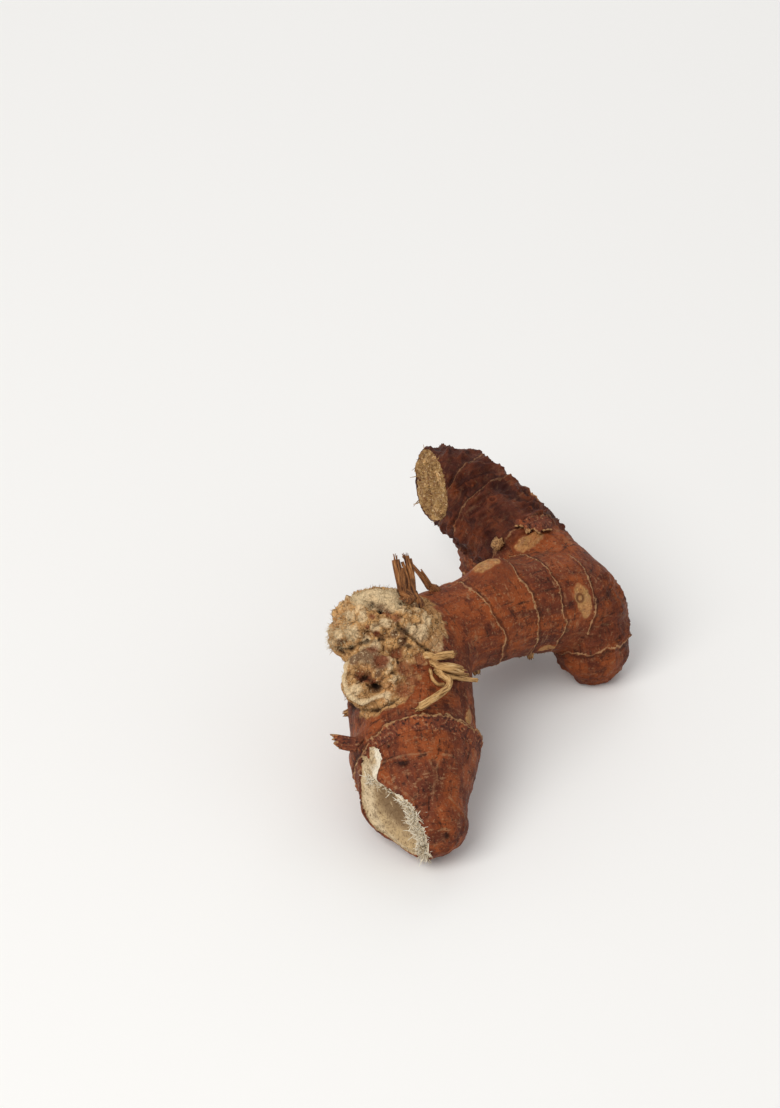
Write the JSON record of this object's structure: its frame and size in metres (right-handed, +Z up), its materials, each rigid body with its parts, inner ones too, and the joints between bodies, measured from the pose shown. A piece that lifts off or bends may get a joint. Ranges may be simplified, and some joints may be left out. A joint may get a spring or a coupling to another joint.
{
  "type": "dried galangal root",
  "caption": "Dried galangal root, elbow shaped: a chopped ringed leg, a corky stem stump, a ringed arm bent back into a wrinkled torn limb, with dry rootlets and papery scales.",
  "frame": {"origin": "on the surface the root lies on, under the middle of its bounding box", "axes": "+Z up, -Y towards the chopped end of the front leg, +X towards the bend between the arm and the rear limb"},
  "size_m": [0.0765, 0.1311, 0.0534],
  "materials": {
    "bark": "dry wrinkled bark, dull reddish brown with tan cork and pale cut flesh",
    "rootlet": "dry fibrous strands, straw tan",
    "scale": "thin papery dry scale, brown with a pale frayed edge"
  },
  "bodies": {
    "root": {"rhizome": "bark", "tuft_rootlet_1": "rootlet", "tuft_rootlet_2": "rootlet", "tuft_rootlet_3": "rootlet", "tuft_rootlet_4": "rootlet", "tuft_rootlet_5": "rootlet", "tuft_rootlet_6": "rootlet", "crotch_rootlet_1": "rootlet", "crotch_rootlet_2": "rootlet", "crotch_rootlet_3": "rootlet", "scale_flap": "scale", "scale_flake": "scale", "scale_collar": "scale"}
  },
  "joints": []
}
